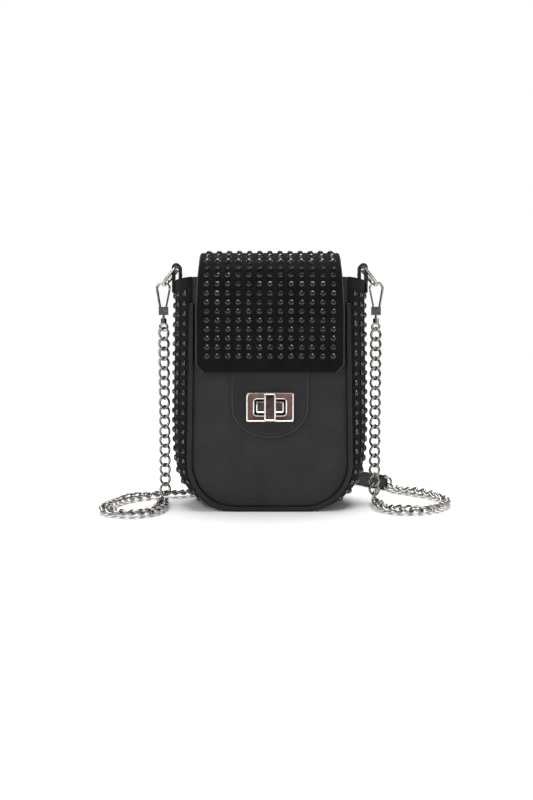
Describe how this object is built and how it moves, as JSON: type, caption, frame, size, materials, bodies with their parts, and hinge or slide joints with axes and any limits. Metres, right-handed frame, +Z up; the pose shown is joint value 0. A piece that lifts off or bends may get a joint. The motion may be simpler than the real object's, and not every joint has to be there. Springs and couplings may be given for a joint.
{
  "type": "chain wallet",
  "caption": "Small upright box-shaped crossbody wallet bag with a studded suede flap and gusset, turn-lock tongue, snap hooks and a chain strap with a leather shoulder piece.",
  "frame": {"origin": "centre of the flat base, on the ground", "axes": "+Z up, the front with the lock faces -Y, +X to the right of someone looking at the front"},
  "size_m": [0.2505, 0.142, 0.1847],
  "materials": {
    "leather": "smooth, softly glossy black",
    "suede": "napped matte black",
    "lining": "plain woven black",
    "board": "pressed fibre board",
    "studs": "faceted glossy black",
    "strap_leather": "smooth black with painted edges",
    "chain": "polished silver",
    "lock_metal": "polished silver",
    "hardware": "polished silver"
  },
  "bodies": {
    "bag": {"front_panel": "leather", "front_board": "board", "front_lining": "lining", "front_binding": "leather", "back_panel": "leather", "back_board": "board", "back_lining": "lining", "back_binding": "leather", "card_pocket": "lining", "gusset": "suede", "gusset_lining": "lining", "base_board": "board", "gusset_studs_left": "studs", "gusset_studs_right": "studs", "left_ring_tab": "leather", "right_ring_tab": "leather", "lock_base": "lock_metal", "lock_washer": "lock_metal", "flap_anchor": "suede", "left_ground_chain": "chain", "right_ground_chain": "chain", "shoulder_strap": "strap_leather", "left_strap_ring": "hardware", "right_strap_ring": "hardware", "strap_rivets": "hardware"},
    "flap": {"flap": "suede", "flap_lining": "lining", "flap_studs": "studs", "tongue": "leather", "lock_frame": "lock_metal", "lock_frame_plate": "lock_metal"},
    "knob": {"lock_knob": "lock_metal", "lock_clip": "lock_metal"},
    "left_ring": {"left_ring": "hardware"},
    "left_hook": {"left_hook": "hardware", "left_hook_pin": "hardware", "left_hook_spring": "hardware"},
    "left_gate": {"left_hook_gate": "hardware"},
    "left_swivel": {"left_swivel": "hardware", "left_hanging_chain": "chain"},
    "right_ring": {"right_ring": "hardware"},
    "right_hook": {"right_hook": "hardware", "right_hook_pin": "hardware", "right_hook_spring": "hardware"},
    "right_gate": {"right_hook_gate": "hardware"},
    "right_swivel": {"right_swivel": "hardware", "right_hanging_chain": "chain"}
  },
  "joints": [
    {"name": "flap_hinge", "type": "hinge", "parent": "bag", "child": "flap", "pos_m": [0, 0.0308, 0.154], "axis": [-1, 0, 0], "range_deg": [0, 150]},
    {"name": "knob_turn", "type": "hinge", "parent": "bag", "child": "knob", "pos_m": [0, -0.03, 0.0735], "axis": [0, -1, 0], "range_deg": [0, 90]},
    {"name": "left_ring_swing", "type": "hinge", "parent": "bag", "child": "left_ring", "pos_m": [-0.06745, 0, 0.1725], "axis": [0, 1, 0], "range_deg": [0, 100]},
    {"name": "left_hook_swing", "type": "hinge", "parent": "left_ring", "child": "left_hook", "pos_m": [-0.07752, 0, 0.16007], "axis": [0, 1, 0], "range_deg": [0, 60]},
    {"name": "left_gate_press", "type": "hinge", "parent": "left_hook", "child": "left_gate", "pos_m": [-0.07602, 0, 0.14237], "axis": [0, -1, 0], "range_deg": [0, 20], "stiffness_Nm_per_rad": 0.02, "springref_deg": -11.46},
    {"name": "left_swivel_turn", "type": "hinge", "parent": "left_hook", "child": "left_swivel", "pos_m": [-0.07752, 0, 0.13507], "axis": [0, 0, 1], "continuous": true},
    {"name": "right_ring_swing", "type": "hinge", "parent": "bag", "child": "right_ring", "pos_m": [0.06745, 0, 0.1725], "axis": [0, -1, 0], "range_deg": [0, 100]},
    {"name": "right_hook_swing", "type": "hinge", "parent": "right_ring", "child": "right_hook", "pos_m": [0.07752, 0, 0.16007], "axis": [0, -1, 0], "range_deg": [0, 60]},
    {"name": "right_gate_press", "type": "hinge", "parent": "right_hook", "child": "right_gate", "pos_m": [0.07602, 0, 0.14237], "axis": [0, 1, 0], "range_deg": [0, 20], "stiffness_Nm_per_rad": 0.02, "springref_deg": -11.46},
    {"name": "right_swivel_turn", "type": "hinge", "parent": "right_hook", "child": "right_swivel", "pos_m": [0.07752, 0, 0.13507], "axis": [0, 0, 1], "continuous": true}
  ]
}
